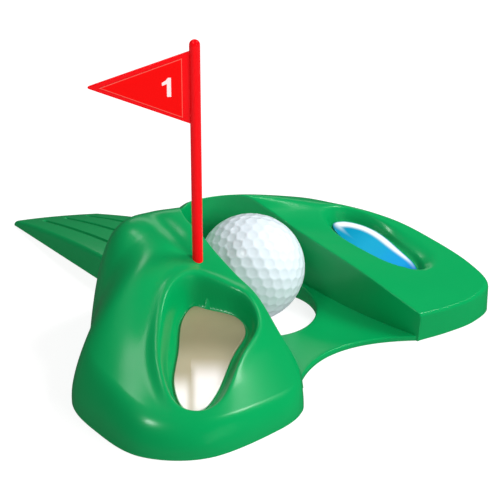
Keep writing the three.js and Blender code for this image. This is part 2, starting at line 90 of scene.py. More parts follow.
# One row for each station round the channel: place along the channel wall, crest height, x and y of the
# outer foot, height of the top at its outer edge, fullness of the top, radius of the outer edge.
STATIONS = np.array([
    (0.0, 11.2, 30.0, -58.6, 11.2, 1.0, 1.5),
    (0.06, 15.1, 43.0, -62.0, 10.9, 1.0, 1.5),
    (0.13, 19.6, 57.0, -63.6, 11.0, 1.0, 1.6),
    (0.2, 23.4, 70.4, -60.2, 12.0, 1.0, 2.0),
    (0.27, 26.8, 74.6, -49.0, 15.2, 1.0, 3.0),
    (0.33, 30.0, 74.8, -33.0, 19.4, 1.0, 4.5),
    (0.375, 34.3, 70.5, -14.0, 25.0, 1.0, 6.0),
    (0.42, 39.6, 60.0, 4.0, 29.0, 1.1, 8.0),
    (0.465, 40.6, 45.0, 24.0, 30.0, 1.3, 9.0),
    (0.505, 41.4, 24.0, 44.0, 16.0, 1.4, 10.0),
    (0.545, 42.4, -6.0, 52.0, 12.0, 1.6, 10.0),
    (0.59, 43.2, -34.0, 48.0, 12.0, 1.8, 10.0),
    (0.63, 47.1, -56.0, 36.0, 11.0, 6.5, 10.0),
    (0.67, 46.4, -74.4, 18.0, 10.0, 3.4, 10.0),
    (0.715, 44.0, -96.4, 0.0, 12.0, 2.1, 10.0),
    (0.765, 38.8, -103.6, -22.5, 14.0, 1.25, 10.0),
    (0.82, 34.0, -103.4, -45.6, 11.5, 1.15, 10.0),
    (0.88, 29.3, -87.2, -62.8, 9.0, 1.15, 9.0),
    (0.945, 18.0, -57.4, -66.8, 8.4, 1.1, 8.4),
    (0.975, 12.6, -41.6, -63.6, 7.8, 1.05, 7.6),
    (1.0, 7.0, -32.4, -54.0, 7.0, 1.0, 6.4),
])
POND_FOIL = np.array([
    (45.6, 2.6), (52.0, 1.2), (57.4, -5.2), (59.4, -13.5), (58.4, -24.0), (56.8, -33.0),
    (52.5, -38.2), (47.5, -34.5), (43.6, -25.5), (41.4, -14.0), (42.2, -3.2),
])
POND_RIM = np.array([
    (44.7, 9.0), (55.0, 4.6), (63.0, -9.0), (68.4, -23.5), (68.6, -34.5), (62.0, -42.6),
    (52.0, -42.0), (43.2, -32.2), (39.6, -20.0), (37.9, -7.5), (39.0, 3.4),
])
BUNKER_FOIL = np.array([
    (-45.6, -10.4), (-42.3, -15.6), (-37.6, -26.0), (-41.2, -34.6), (-53.6, -40.2), (-69.0, -48.6),
    (-79.6, -51.4), (-83.8, -45.6), (-78.0, -34.6), (-66.0, -24.0), (-54.6, -13.6),
])
BUNKER_RIM = np.array([
    (-44.0, -6.2), (-38.0, -11.6), (-32.4, -26.6), (-37.0, -38.6), (-54.6, -46.6), (-72.0, -55.4),
    (-83.4, -54.6), (-88.6, -46.0), (-81.4, -31.0), (-69.6, -17.6), (-55.6, -7.4),
])
TONGUE = {
    "tip": ((-13.7, 140.4), (18.1, 119.9)),
    "root": ((-28.3, 34.0), (28.7, 34.0)),
}


# ---- settings that a user would change ----
class PuttingCupSettings(bpy.types.PropertyGroup):
    crest_radius: bpy.props.FloatProperty(
        name="Crest radius", description="Rounding along the top of the channel wall",
        default=0.0009, min=0.0001, max=0.003, unit="LENGTH", precision=5)
    groove_count: bpy.props.IntProperty(
        name="Grooves", description="Grooves along the tongue", default=3, min=0, max=9)
    groove_width: bpy.props.FloatProperty(
        name="Groove width", description="Width of one groove",
        default=0.0013, min=0.0002, max=0.005, unit="LENGTH", precision=5)
    groove_depth: bpy.props.FloatProperty(
        name="Groove depth", description="Depth of one groove",
        default=0.0009, min=0.0001, max=0.002, unit="LENGTH", precision=5)
    green: bpy.props.FloatVectorProperty(
        name="Green", description="Colour of the moulding", subtype="COLOR", size=3,
        default=(0.0, 0.25, 0.066), min=0.0, max=1.0)
    green_roughness: bpy.props.FloatProperty(
        name="Green roughness", description="How soft the moulding's highlights are",
        default=0.33, min=0.0, max=1.0, subtype="FACTOR")
    red: bpy.props.FloatVectorProperty(
        name="Red", description="Colour of the flagstick", subtype="COLOR", size=3,
        default=(0.84, 0.0, 0.003), min=0.0, max=1.0)
    dimple_depth: bpy.props.FloatProperty(
        name="Dimple depth", description="Depth of one dimple of the ball",
        default=0.00028, min=0.0, max=0.001, unit="LENGTH", precision=5)
    dimple_radius: bpy.props.FloatProperty(
        name="Dimple radius", description="Radius of one dimple of the ball",
        default=0.00206, min=0.0005, max=0.004, unit="LENGTH", precision=5)


# ---- curves and surfaces ----
def smooth(t):
    """An eased step from 0 to 1."""
    t = np.clip(t, 0.0, 1.0)
    return t * t * (3.0 - 2.0 * t)


def along(rows, t, closed=False):
    """Points on the smooth curve through the rows of a table, at each t from 0 to 1."""
    n = len(rows)
    spans = n if closed else n - 1
    at = np.clip(np.asarray(t, float), 0.0, 1.0) * spans
    i = np.minimum(np.floor(at).astype(int), spans - 1)
    w = (at - i)[..., None]
    if closed:
        p0, p1, p2, p3 = (rows[(i + k) % n] for k in (-1, 0, 1, 2))
    else:
        padded = np.vstack([2 * rows[0] - rows[1], rows, 2 * rows[-1] - rows[-2]])
        p0, p1, p2, p3 = (padded[i + k] for k in (0, 1, 2, 3))
    a = p2 - p0
    b = 2 * p0 - 5 * p1 + 4 * p2 - p3
    c = 3 * p1 - p0 - 3 * p2 + p3
    return 0.5 * (2 * p1 + a * w + b * w * w + c * w * w * w)


def outline(points, n):
    """The smooth closed outline through a table of corners, as n points."""
    return along(points, np.arange(n) / n, closed=True)


def channel_wall(t, out=0.0):
    """The channel wall in plan, offset away from the channel by out, as x and y."""
    t, out = np.broadcast_arrays(np.asarray(t, float), np.asarray(out, float))
    taper = CHANNEL_FRONT_HALF - CHANNEL_END_RADIUS
    right = math.hypot(taper, CHANNEL_END_Y - POND_FRONT_Y)
    left = math.hypot(taper, CHANNEL_END_Y - TOE_FRONT_Y)
    bend = math.pi * CHANNEL_END_RADIUS
    s = t * (right + bend + left)
    w_right = np.clip(s / right, 0.0, 1.0)
    w_left = np.clip((s - right - bend) / left, 0.0, 1.0)
    angle = np.clip((s - right) / CHANNEL_END_RADIUS, 0.0, math.pi)
    radius = CHANNEL_END_RADIUS + out
    x = radius * np.cos(angle) + taper * (1 - w_right) - taper * w_left
    y = CHANNEL_END_Y + radius * np.sin(angle)
    y = y + (POND_FRONT_Y - CHANNEL_END_Y) * (1 - w_right) + (TOE_FRONT_Y - CHANNEL_END_Y) * w_left
    return x, y


def channel_floor(y):
    """Height of the channel's floor: flat at the front, then a slow climb to the cup and beyond."""
    return LIP_Z + FLOOR_CURVE * np.maximum(0.0, y - FLOOR_FLAT_Y) ** 2


def hill_points(t, s, wall=0.0):
    """The hills' top over the stations t (m,) and the shares s (m, k) from the crest (0) to the foot (1)."""
    place, crest, foot_x, foot_y, edge, fullness, radius = (v[:, None] for v in along(STATIONS, t).T)
    wall_x, wall_y = channel_wall(place, wall)
    span = np.hypot(foot_x - wall_x, foot_y - wall_y)
    inside = np.maximum(radius - np.maximum((1 - s) * span - wall, 0.0), 0.0)
    top = edge + (crest - edge) * (1 - np.maximum(s, 0.0) ** fullness)
    z = top - (radius - np.sqrt(np.maximum(radius**2 - inside**2, 0.0)))
    return wall_x + (foot_x - wall_x) * s, wall_y + (foot_y - wall_y) * s, z


# ---- the two hollows ----
FAR = 1e6
TINY = 1e-12


def signed_distance(x, y, loop):
    """Distance from each point to a closed outline, positive inside it."""
    ax, ay = loop.T
    bx, by = np.roll(loop, -1, axis=0).T
    least = np.full(x.shape, FAR)
    inside = np.zeros(x.shape, bool)
    for x0, y0, x1, y1 in zip(ax, ay, bx, by):
        dx, dy = x1 - x0, y1 - y0
        h = np.clip(((x - x0) * dx + (y - y0) * dy) / (dx * dx + dy * dy), 0.0, 1.0)
        least = np.minimum(least, np.hypot(x - x0 - h * dx, y - y0 - h * dy))
        crosses = (y0 > y) != (y1 > y)
        inside ^= crosses & (x < x0 + (y - y0) * dx / (dy if dy else TINY))
    return np.where(inside, least, -least)


def soft_distance(x, y, loop, reach=2.2):
    """Distance to a closed outline with its creases rounded off over about the given reach."""
    ahead = np.roll(loop, -1, axis=0)
    middles = (loop + ahead) / 2
    lengths = np.hypot(*(ahead - loop).T)
    total = np.zeros(x.shape)
    for (x0, y0), length in zip(middles, lengths):
        total += length / (2 * reach) * np.exp(-np.hypot(x - x0, y - y0) / reach)
    return np.maximum(-reach * np.log(np.maximum(total, TINY)), 0.0)


def foil_plane(node):
    """The height of a hollow's floor as a function of x and y, from the plate that lies on it."""
    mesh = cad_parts[node].data
    points = np.array([v.co for v in mesh.vertices])
    points = (points - np.array(CUP_AT)) / MM
    columns = np.column_stack([np.ones(len(points)), points[:, 0], points[:, 1]])
    level, slope_x, slope_y = np.linalg.lstsq(columns, points[:, 2], rcond=None)[0]
    return lambda x, y: level + slope_x * x + slope_y * y


# Height of a foil's middle over the floor of its hollow, and half the foil's thickness.
FOIL_MIDDLE = 0.6
FOIL_HALF = 0.3

# The walls of the hollows start with a small rise beside the foil: its length as a share of the wall's, and
# its height as a share of the wall's.
RISE_RUN = 0.3
POND_RISE = 0.25
POND_FULLNESS = 1.2
BUNKER_RISE = 0.2
BUNKER_WALL_FROM = 0.25


def pond_profile(share):
    """Height share of the pond's wall, from the foil (0) to the rim (1): one smooth dish."""
    dish = np.sin(np.clip(share, 0.0, 1.0) * math.pi / 2) ** POND_FULLNESS
    return POND_RISE * smooth(share / RISE_RUN) + (1 - POND_RISE) * dish


def bunker_profile(share):
    """Height share of the bunker's wall: a rolled step above the foil, then a steep dish."""
    dish = smooth((share - BUNKER_WALL_FROM) / (1 - BUNKER_WALL_FROM))
    return BUNKER_RISE * smooth(share / RISE_RUN) + (1 - BUNKER_RISE) * dish


Hollow = namedtuple("Hollow", "foil rim floor profile lip_height lip_width")
POND_POINTS = 110
BUNKER_POINTS = 130
POND = Hollow(
    foil=outline(POND_FOIL, POND_POINTS),
    rim=outline(POND_RIM, POND_POINTS),
    floor=foil_plane("pond_water_foil"),
    profile=pond_profile,
    lip_height=0.0,
    lip_width=2.0,
)
BUNKER = Hollow(
    foil=outline(BUNKER_FOIL, BUNKER_POINTS),
    rim=outline(BUNKER_RIM, BUNKER_POINTS),
    floor=foil_plane("bunker_sand_foil"),
    profile=bunker_profile,
    lip_height=1.1,
    lip_width=2.6,
)

# The rounded distances start from nothing at an outline, over this length.
RIM_BLEND = 1.2
LEAST_WALL = 1e-4
# How far a lip reaches, in lip widths.
LIP_REACH = 3
# The raised lip leaves the front of its hollow free, and grows to full height over a length.
LIP_FREE = 2.0
LIP_GROWTH = 16.0


def sink_hollows(x, y, z, lips=True):
    """Presses both hollows into a surface, with rounded rims and raised lips."""
    z = z.copy()
    for hollow in (POND, BUNKER):
        nearest, farthest = hollow.rim.min(axis=0), hollow.rim.max(axis=0)
        margin = LIP_REACH * hollow.lip_width
        low, high = nearest - margin, farthest + margin
        near = (x > low[0]) & (x < high[0]) & (y > low[1]) & (y < high[1])
        px, py = x[near], y[near]
        inside_rim = signed_distance(px, py, hollow.rim)
        outside_foil = -signed_distance(px, py, hollow.foil)
        to_rim = soft_distance(px, py, hollow.rim) * smooth(inside_rim / RIM_BLEND)
        to_foil = soft_distance(px, py, hollow.foil) * smooth(outside_foil / RIM_BLEND)
        share = to_foil / np.maximum(to_foil + to_rim, LEAST_WALL)
        share = np.where(inside_rim <= 0, 1.0, np.where(outside_foil <= 0, 0.0, share))
        lip = hollow.lip_height * np.exp(-((inside_rim / hollow.lip_width) ** 2)) * smooth(share * 2) * lips
        lip *= smooth((py - nearest[1] - LIP_FREE) / LIP_GROWTH)
        floor = hollow.floor(px, py) - FOIL_MIDDLE
        z[near] = floor + (z[near] - floor) * hollow.profile(share) + lip
    return z


# The soft crease that runs from the flagstick's socket over the top of the bunker hill.
CREASE_FROM = (-36.6, -1.0)
CREASE_TO = (-32.4, 23.0)
CREASE_DEPTH = 1.7
CREASE_WIDTH = 4.2
# Where it starts and ends to fade, and over how much, as shares of its length.
CREASE_START, CREASE_OPENING = -0.2, 0.5
CREASE_END, CREASE_CLOSING = 1.6, 1.0


def press_crease(x, y, z):
    """Presses the soft crease into the heights of a surface."""
    (x0, y0), (x1, y1) = CREASE_FROM, CREASE_TO
    length = math.hypot(x1 - x0, y1 - y0)
    ux, uy = (x1 - x0) / length, (y1 - y0) / length
    run = ((x - x0) * ux + (y - y0) * uy) / length
    off = (x - x0) * -uy + (y - y0) * ux
    fade = smooth((run - CREASE_START) / CREASE_OPENING) * smooth((CREASE_END - run) / CREASE_CLOSING)
    return z - CREASE_DEPTH * fade * np.exp(-((off / CREASE_WIDTH) ** 2))


# ---- mesh helpers ----
MERGE_DISTANCE = 2e-6
SLIVER = 1e-6
CORNER_DEGREES = 50


def to_row(points):
    """Points of the design frame, in millimetres, as metres in the part's own frame."""
    return np.asarray(points, float) * MM + np.array(CUP_AT)


def add_object(name, points, faces, smooth_faces=True):
    """A mesh object with merged points and outward faces."""
    mesh = bpy.data.meshes.new(name)
    mesh.from_pydata([tuple(p) for p in points], [], [tuple(f) for f in faces])
    mesh.validate()
    made = bpy.data.objects.new(name, mesh)
    bpy.context.collection.objects.link(made)
    bm = bmesh.new()
    bm.from_mesh(mesh)
    bmesh.ops.remove_doubles(bm, verts=bm.verts, dist=MERGE_DISTANCE)
    bmesh.ops.dissolve_degenerate(bm, edges=bm.edges, dist=SLIVER)
    bmesh.ops.recalc_face_normals(bm, faces=bm.faces)
    for face in bm.faces:
        face.smooth = smooth_faces
    bm.to_mesh(mesh)
    bm.free()
    return made


def tube(sections, cap_first=False, cap_last=False):
    """Points and faces of a skin through closed sections, an array of (sections, points, 3)."""
    m, k = sections.shape[:2]
    index = np.arange(m * k).reshape(m, k)
    around = np.roll(index, -1, axis=1)
    quads = np.stack([index[:-1], around[:-1], around[1:], index[1:]], axis=-1).reshape(-1, 4)
    faces = [tuple(q) for q in quads]
    if cap_first:
        faces.append(tuple(index[0]))
    if cap_last:
        faces.append(tuple(index[-1][::-1]))
    return sections.reshape(-1, 3), faces


def sharpen(obj, degrees=CORNER_DEGREES):
    """Marks the edges that turn by more than an angle as sharp, so that only true corners look hard."""
    mesh = obj.data
    bm = bmesh.new()
    bm.from_mesh(mesh)
    limit = math.radians(degrees)
    for edge in bm.edges:
        edge.smooth = len(edge.link_faces) != 2 or edge.calc_face_angle(0.0) < limit
    bm.to_mesh(mesh)
    bm.free()
    return obj


def skin(name, sections):
    """A closed object through sections in the design frame, with only its true corners hard."""
    points, faces = tube(sections, cap_first=True, cap_last=True)
    return sharpen(add_object(name, to_row(points), faces))


def join(name, objects):
    """Several objects as one, under a new name."""
    bpy.ops.object.select_all(action="DESELECT")
    for obj in objects:
        obj.select_set(True)
    bpy.context.view_layer.objects.active = objects[0]
    bpy.ops.object.join()
    made = bpy.context.view_layer.objects.active
    made.name = name
    made.data.name = name
    return made


# ---- pieces of the moulding ----
# Stretches of the hills as (from, to, stations): the bunker's stretch is the finest.
HILL_STRETCHES = ((0.0, 0.7, 240), (0.7, 0.96, 190), (0.96, 1.0, 22))
HILL_ROWS = 142
WALL_ROWS = 7
UNDER_ROWS = 16
LEAST_SPAN = 1e-3
CREST_TURNS = 6
CREST_MOST = 0.3
# Share of the rows that is spread evenly from crest to foot: the rest crowd towards the foot.
EVEN_ROWS = 0.45
THIN_MOST = 0.15
# Stations where the hollow underside starts and ends, and over how much it opens and closes.
UNDER_START, UNDER_OPENING = 0.03, 0.05
UNDER_END, UNDER_CLOSING = 0.975, 0.04


def hills(settings):
    """Both hills as one closed skin: channel wall, rounded crest, top with its hollows, foot, underside."""
    t = np.unique(np.concatenate([np.linspace(a, b, n) for a, b, n in HILL_STRETCHES]))
    place, _, foot_x, foot_y = along(STATIONS, t)[:, :4].T
    wall_x, wall_y = channel_wall(place)
    span = np.maximum(np.hypot(foot_x - wall_x, foot_y - wall_y), LEAST_SPAN)[:, None]

    rounding = np.minimum(settings.crest_radius / MM, span * CREST_MOST)
    turns = np.radians(np.linspace(0.0, 90.0, CREST_TURNS))[None, :-1]
    crest_s = rounding * (1 - np.cos(turns)) / span
    crest_drop = rounding * (1 - np.sin(turns))
    j = np.linspace(0.0, 1.0, HILL_ROWS)[None, :]
    spread = EVEN_ROWS * j + (1 - EVEN_ROWS) * np.sin(j * math.pi / 2)
    top_s = rounding / span + (1 - rounding / span) * spread
    x, y, z = hill_points(t, np.hstack([crest_s, top_s]))
    z[:, : crest_drop.shape[1]] -= crest_drop
    z = press_crease(x, y, sink_hollows(x, y, z))
    z[:, -1] = np.minimum(z[:, -1], z[:, -2])
    top = np.stack([x, y, np.maximum(z, 0.0)], axis=-1)

    rise = np.linspace(0.0, 1.0, WALL_ROWS)[None, :-1]
    face_x, face_y = channel_wall(place[:, None], -CHANNEL_DRAFT * (1 - rise))
    face = np.stack([face_x, face_y, rise * top[:, :1, 2]], axis=-1)
    foot = np.stack([foot_x, foot_y, np.zeros_like(foot_x)], axis=-1)[:, None, :]

    wall = np.minimum(WALL, span * THIN_MOST)
    inner_s = (1 - wall / span) * np.linspace(1.0, 0.0, UNDER_ROWS)[None, :]
    ux, uy, uz = hill_points(t, inner_s)
    lean_x, lean_y = channel_wall(place[:, None], wall)
    ux = ux + (lean_x - wall_x[:, None]) * (1 - inner_s)
    uy = uy + (lean_y - wall_y[:, None]) * (1 - inner_s)
    fade = smooth((t - UNDER_START) / UNDER_OPENING) * smooth((UNDER_END - t) / UNDER_CLOSING)
    uz = np.maximum(sink_hollows(ux, uy, uz, lips=False) - wall * SLOPE_ALLOWANCE, 0.0) * fade[:, None]
    under = np.stack([ux, uy, uz], axis=-1)
    heel = under[:, :1].copy()
    heel[:, :, 2] = 0.0
    inner_x, inner_y = channel_wall(place[:, None], wall - CHANNEL_DRAFT)
    inner = np.stack([inner_x, inner_y, np.zeros_like(inner_x)], axis=-1)
    return skin("hills", np.concatenate([face, top, foot, heel, under, inner], axis=1))


# How far the channel's floor reaches under the hills, and the points along its front edge.
FLOOR_OVERLAP = 0.8
FRONT_POINTS = 160
PLATE_ANGLES = 361
PLATE_ROWS = 14
PLATE_TURNS = 6
PLATE_EDGE = 0.9


def channel_edge(angle):
    """Distance from the cup's centre to the edge of the channel's floor, along each angle."""
    w = np.linspace(0.0, 1.0, FRONT_POINTS)
    front_x = CHANNEL_FRONT_HALF * (2 * w - 1)
    front_y = LIP_TOE_Y + (POND_FRONT_Y - LIP_TOE_Y) * w + LIP_DEPTH * 4 * w * (1 - w)
    side_x, side_y = channel_wall(np.linspace(0.0, 1.0, 3 * FRONT_POINTS), FLOOR_OVERLAP)
    x, y = np.concatenate([front_x, side_x]), np.concatenate([front_y, side_y])
    bearing = np.unwrap(np.arctan2(y, x))
    order = np.argsort(bearing)
    return np.interp(angle, bearing[order], np.hypot(x, y)[order], period=2 * math.pi)


def channel_plate():
    """The channel's floor with the cup's hole and its collar."""
    corners = [math.atan2(LIP_TOE_Y, -CHANNEL_FRONT_HALF), math.atan2(POND_FRONT_Y, CHANNEL_FRONT_HALF)]
    angle = np.unique(np.concatenate([np.linspace(-math.pi, math.pi, PLATE_ANGLES)[:-1], corners]))
    edge = channel_edge(angle)
    hole = np.full_like(angle, CUP_RADIUS)
    turns = np.radians(np.linspace(0.0, 90.0, PLATE_TURNS))
    roll = [(PLATE_EDGE * (1 - math.cos(a)), PLATE_EDGE * (1 - math.sin(a))) for a in turns]
    rows = []

    def ring(radius, drop=0.0):
        x, y = radius * np.cos(angle), radius * np.sin(angle)
        rows.append(np.stack([x, y, np.maximum(channel_floor(y) - drop, 0.0)], axis=-1))

    to_ground = math.inf
    ring(hole, to_ground)
    for inset, drop in roll:
        ring(hole + inset, drop)
    for w in np.linspace(0.0, 1.0, PLATE_ROWS)[1:]:
        ring(hole + PLATE_EDGE + (edge - hole - 2 * PLATE_EDGE) * w)
    for inset, drop in roll[-2::-1]:
        ring(edge - inset, drop)
    ring(edge, WALL)
    ring(edge - PLATE_EDGE, WALL)
    ring(hole + WALL, WALL)
    ring(hole + WALL, to_ground)
    sections = np.stack(rows, axis=1)
    points, faces = tube(np.concatenate([sections, sections[:1]]))
    return sharpen(add_object("channel_plate", to_row(points), faces))


NOSE_LENGTH = 1.6
NOSE_STEPS = 9
NOSE_LEAST = 0.25
TONGUE_STEPS = 130
TONGUE_TURNS = 7
TONGUE_ACROSS = 13
TONGUE_UNDER = 9
TONGUE_HOLLOW_FROM = 20.0
# Grooves: where they start and end along the tongue and over how much they open and close. Across them, in
# half widths: where the flat floor ends, the width of the wall beside it, and the points.
GROOVE_START, GROOVE_OPENING = 8.5, 1.2
GROOVE_END, GROOVE_CLOSING = 78.0, 6.0
GROOVE_FLOOR, GROOVE_WALL = 0.45, 1.1
GROOVE_POINTS = np.linspace(-2.2, 2.2, 15)


def tongue(settings):
    """The tongue, with its grooves pressed into the top."""
    (tip_left, tip_right), (root_left, root_right) = (np.array(TONGUE[k]) for k in ("tip", "root"))
    length = tip_left[1] - root_left[1]
    nose_run = np.linspace(0.0, NOSE_LENGTH, NOSE_STEPS)
    run = np.concatenate([nose_run, np.linspace(NOSE_LENGTH, length, TONGUE_STEPS)[1:]])
    count = settings.groove_count
    half = settings.groove_width / MM / 2
    centres = (np.arange(count) + 1) / (count + 1)
    points_across = TONGUE_ACROSS + len(GROOVE_POINTS) * count
    turns = np.radians(np.linspace(0.0, 90.0, TONGUE_TURNS))
    sections = []
    for d in run:
        t = d / length
        left, right = tip_left + (root_left - tip_left) * t, tip_right + (root_right - tip_right) * t
        width = right[0] - left[0]
        nose = math.sqrt(1 - (1 - min(d / NOSE_LENGTH, 1.0)) ** 2)
        level = TONGUE_TIP + TONGUE_RISE * d - TONGUE_FLATTEN * d * d
        level *= NOSE_LEAST + (1 - NOSE_LEAST) * nose
        edge = min(TONGUE_EDGE, level * 0.5)
        even = np.linspace(edge / width, 1 - edge / width, TONGUE_ACROSS)
        w = np.unique(np.concatenate([even, *(c + GROOVE_POINTS * half / width for c in centres)]))
        w = np.interp(np.linspace(0, 1, points_across), np.linspace(0, 1, len(w)), w)
        opening = smooth((d - GROOVE_START) / GROOVE_OPENING) * smooth((GROOVE_END - d) / GROOVE_CLOSING)
        off = np.min([np.full(w.shape, FAR), *(np.abs(w - c) * width / half for c in centres)], axis=0)
        depth = settings.groove_depth / MM * opening * (1 - smooth((off - GROOVE_FLOOR) / GROOVE_WALL))
        corner_w = edge * (1 - np.cos(turns)) / width
        corner_z = level - edge * (1 - np.sin(turns))
        under_w = WALL / width + np.linspace(1.0, 0.0, TONGUE_UNDER) * (1 - 2 * WALL / width)
        under_z = np.full(TONGUE_UNDER, max(level - WALL, 0.0)) * (d > TONGUE_HOLLOW_FROM)
        ws = np.concatenate(
            [[0.0], corner_w, w, 1 - corner_w[::-1], [1.0], under_w[:1], under_w, under_w[-1:]])
        zs = np.concatenate([[0.0], corner_z, level - depth, corner_z[::-1], [0.0], [0.0], under_z, [0.0]])
        bulge = TONGUE_BULGE * (1 - t) * 4 * ws * (1 - ws)
        xy = left + (right - left) * ws[:, None]
        sections.append(np.column_stack([xy[:, 0], xy[:, 1] + bulge, zs]))
    return skin("tongue", np.array(sections))


# ---- materials ----
def node_group(name, inputs, outputs):
    """A new shader group with named inputs and outputs, and its two end nodes."""
    group = bpy.data.node_groups.new(name, "ShaderNodeTree")
    for label, kind, value in inputs:
        socket = group.interface.new_socket(label, in_out="INPUT", socket_type=kind)
        socket.default_value = value
    for label, kind in outputs:
        group.interface.new_socket(label, in_out="OUTPUT", socket_type=kind)
    return group, group.nodes.new("NodeGroupInput"), group.nodes.new("NodeGroupOutput")


def add_node(tree, kind, inputs=None, **properties):
    """A new node with its properties set, and each named input linked to a socket or set to a value."""
    made = tree.nodes.new(kind)
    for label, value in properties.items():
        setattr(made, label, value)
    for where, value in (inputs or {}).items():
        if isinstance(value, bpy.types.NodeSocket):
            tree.links.new(value, made.inputs[where])
        else:
            made.inputs[where].default_value = value
    return made


def opaque(colour):
    """A colour as an input takes it: a socket stays as it is, and a tuple gets its alpha."""
    return colour if isinstance(colour, bpy.types.NodeSocket) else (*colour, 1.0)


def surface_grain():
    """Shared group: fine grain and slow unevenness of a moulded or printed surface."""
    name = "Surface grain"
    if name in bpy.data.node_groups:
        return bpy.data.node_groups[name]
    group, given, out = node_group(
        name,
        [("Colour", "NodeSocketColor", (1, 1, 1, 1)), ("Variation", "NodeSocketFloat", 0.06),
         ("Grain Scale", "NodeSocketFloat", 3500.0), ("Grain Height", "NodeSocketFloat", 0.00001),
         ("Roughness Low", "NodeSocketFloat", 0.3), ("Roughness High", "NodeSocketFloat", 0.4)],
        [("Colour", "NodeSocketColor"), ("Roughness", "NodeSocketFloat"), ("Normal", "NodeSocketVector")])
    given = given.outputs
    place = add_node(group, "ShaderNodeTexCoord").outputs["Object"]
    slow = add_node(group, "ShaderNodeTexNoise",
                    {"Vector": place, "Scale": 45.0, "Detail": 3.0}).outputs["Fac"]
    fine = add_node(group, "ShaderNodeTexNoise",
                    {"Vector": place, "Scale": given["Grain Scale"], "Detail": 2.0}).outputs["Fac"]
    bump = add_node(group, "ShaderNodeBump",
                    {"Strength": 1.0, "Distance": given["Grain Height"], "Height": fine})
    rough = add_node(group, "ShaderNodeMapRange", {
        "Value": slow, "From Min": 0.3, "From Max": 0.7,
        "To Min": given["Roughness Low"], "To Max": given["Roughness High"]})
    centred = add_node(group, "ShaderNodeMath", {0: slow, 1: 0.5}, operation="SUBTRACT").outputs[0]
    scaled = add_node(group, "ShaderNodeMath", {0: centred, 1: given["Variation"], 2: 1.0},
                      operation="MULTIPLY_ADD").outputs[0]
    tint = add_node(group, "ShaderNodeVectorMath", {0: given["Colour"], "Scale": scaled}, operation="SCALE")
    group.links.new(tint.outputs["Vector"], out.inputs["Colour"])
    group.links.new(rough.outputs["Result"], out.inputs["Roughness"])
    group.links.new(bump.outputs["Normal"], out.inputs["Normal"])
    return group


def new_material(name, **sockets):
    """A material and its shader, with the shader's sockets set: an underscore stands for a space."""
    made = bpy.data.materials.new(name)
    made.use_nodes = True
    shader = made.node_tree.nodes["Principled BSDF"]
    for label, value in sockets.items():
        shader.inputs[label.replace("_", " ")].default_value = value
    return made, shader


ROUGHNESS_SPREAD = (0.9, 1.12)


def with_grain(material, shader, colour, roughness, variation=0.08, scale=2600.0, height=0.000008):
    """Puts the shared grain between a colour (a tuple or a socket) and the shader."""
    tree = material.node_tree
    low, high = (roughness * share for share in ROUGHNESS_SPREAD)
    grain = add_node(tree, "ShaderNodeGroup", {
        "Colour": opaque(colour), "Variation": variation, "Grain Scale": scale, "Grain Height": height,
        "Roughness Low": low, "Roughness High": high}, node_tree=surface_grain())
    tree.links.new(grain.outputs["Colour"], shader.inputs["Base Color"])
    tree.links.new(grain.outputs["Roughness"], shader.inputs["Roughness"])
    tree.links.new(grain.outputs["Normal"], shader.inputs["Normal"])
    return material


def green_plastic(settings):
    material, shader = new_material("Green moulded plastic", Specular_IOR_Level=0.3, Coat_Weight=0.6,
                                    Coat_Roughness=0.2, Specular_Tint=(0.3, 1.0, 0.6, 1.0))
    return with_grain(material, shader, tuple(settings.green), settings.green_roughness)


def red_plastic(settings):
    material, shader = new_material("Red moulded plastic", Specular_IOR_Level=0.3, Coat_Weight=0.2,
                                    Coat_Roughness=0.2, Specular_Tint=(1.0, 0.3, 0.3, 1.0))
    return with_grain(material, shader, tuple(settings.red), 0.4, variation=0.05)


def ramp(tree, source, stops):
    """A colour that eases through the stops, each a place and a colour, as the source goes from 0 to 1."""
    made = add_node(tree, "ShaderNodeValToRGB", {"Fac": source})
    made.color_ramp.interpolation = "EASE"
    elements = made.color_ramp.elements
    while len(elements) < len(stops):
        elements.new(0.5)
    for element, (place, colour) in zip(elements, stops):
        element.position = place
        element.color = opaque(colour)
    return made.outputs["Color"]


def across(tree, start, end):
    """0 to 1 along the line between two design-frame points, read from Object coordinates."""
    a, b = (Vector(to_row([(*point, 0.0)])[0]) for point in (start, end))
    line = b - a
    place = add_node(tree, "ShaderNodeTexCoord").outputs["Object"]
    moved = add_node(tree, "ShaderNodeVectorMath", {0: place, 1: a}, operation="SUBTRACT").outputs["Vector"]
    along_line = {0: moved, 1: line / line.length_squared}
    return add_node(tree, "ShaderNodeVectorMath", along_line, operation="DOT_PRODUCT").outputs["Value"]


def blend_colours(tree, factor, low, high):
    """Mixes two colours, each a tuple or a socket."""
    colours = {0: factor, 6: opaque(low), 7: opaque(high)}
    return add_node(tree, "ShaderNodeMix", colours, data_type="RGBA").outputs[2]


def attribute(tree, name):
    """The number that paint() stored on a mesh."""
    return add_node(tree, "ShaderNodeAttribute", attribute_name=name).outputs["Fac"]


def water_foil():
    """Blue foil with painted reflection: darker blue towards both ends, and a pale crescent of painted
    reflection.
    """
    material, shader = new_material(
        "Blue metallised foil", Metallic=0.3, Coat_Weight=0.5, Coat_Roughness=0.06)
    tree = material.node_tree
    # Painted reflection in the blue: brightest in the middle, darker towards both ends.
    painted_blue_reflection = ramp(tree, across(tree, (43.0, 5.0), (53.0, -38.0)), [
        (0.0, (0.0, 0.16, 0.26)), (0.2, (0.0, 0.30, 0.50)), (0.5, (0.01, 0.38, 0.62)),
        (0.8, (0.01, 0.34, 0.72)), (1.0, (0.0, 0.16, 0.50))])
    colour = blend_colours(tree, attribute(tree, "painted_reflection"), painted_blue_reflection, (0.95, 0.99, 1.0))
    return with_grain(material, shader, colour, 0.22, variation=0.04)


